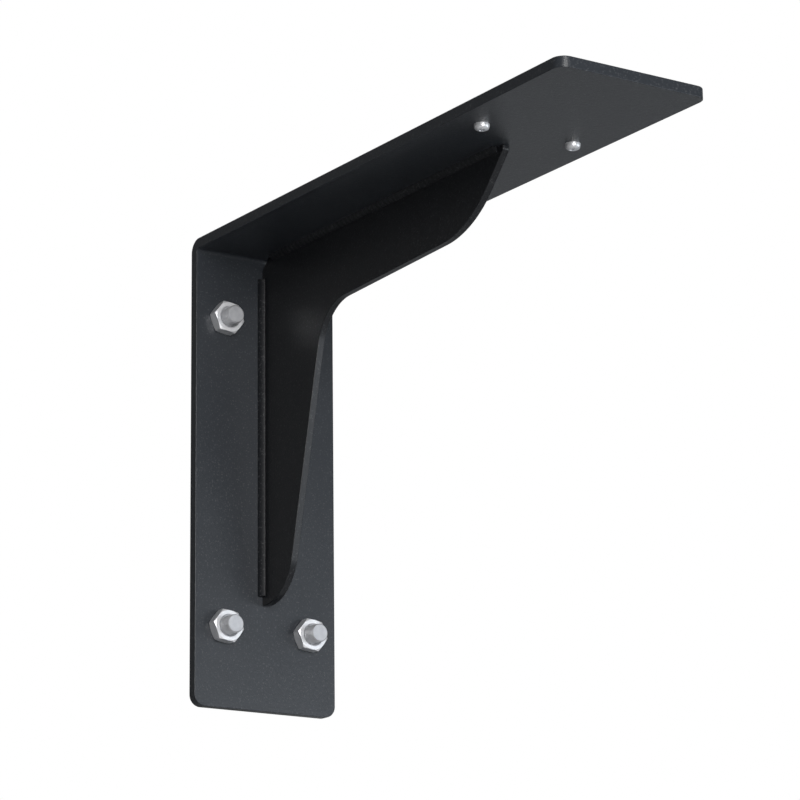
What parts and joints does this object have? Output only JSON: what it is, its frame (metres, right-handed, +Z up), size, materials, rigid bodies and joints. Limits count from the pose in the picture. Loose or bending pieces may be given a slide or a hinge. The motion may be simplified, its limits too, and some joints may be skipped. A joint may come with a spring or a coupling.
{
  "type": "shelf bracket",
  "caption": "Rigid steel shelf bracket folded from one strip, stiffened by a welded upright web, with wall anchors and board screws fitted.",
  "frame": {"origin": "middle of the four wall anchors, on the leg's back face", "axes": "+Y into the wall, +Z up, X along the wall, the arm reaching along -Y"},
  "size_m": [0.07, 0.32, 0.2165],
  "materials": {
    "powder_coat": "semi-gloss black powder coat with a fine grain",
    "zinc_plate": "bright zinc plate"
  },
  "bodies": {
    "root": {"bent_strip": "powder_coat", "web_plate": "powder_coat", "arm_weld_left": "powder_coat", "arm_weld_right": "powder_coat", "leg_weld_left": "powder_coat", "leg_weld_right": "powder_coat", "wall_anchor_upper_left": "zinc_plate", "anchor_clip_upper_left": "zinc_plate", "anchor_nut_upper_left": "zinc_plate", "wall_anchor_upper_right": "zinc_plate", "anchor_clip_upper_right": "zinc_plate", "anchor_nut_upper_right": "zinc_plate", "wall_anchor_lower_left": "zinc_plate", "anchor_clip_lower_left": "zinc_plate", "anchor_nut_lower_left": "zinc_plate", "wall_anchor_lower_right": "zinc_plate", "anchor_clip_lower_right": "zinc_plate", "anchor_nut_lower_right": "zinc_plate", "board_screw_left": "zinc_plate", "board_screw_right": "zinc_plate"}
  },
  "joints": []
}
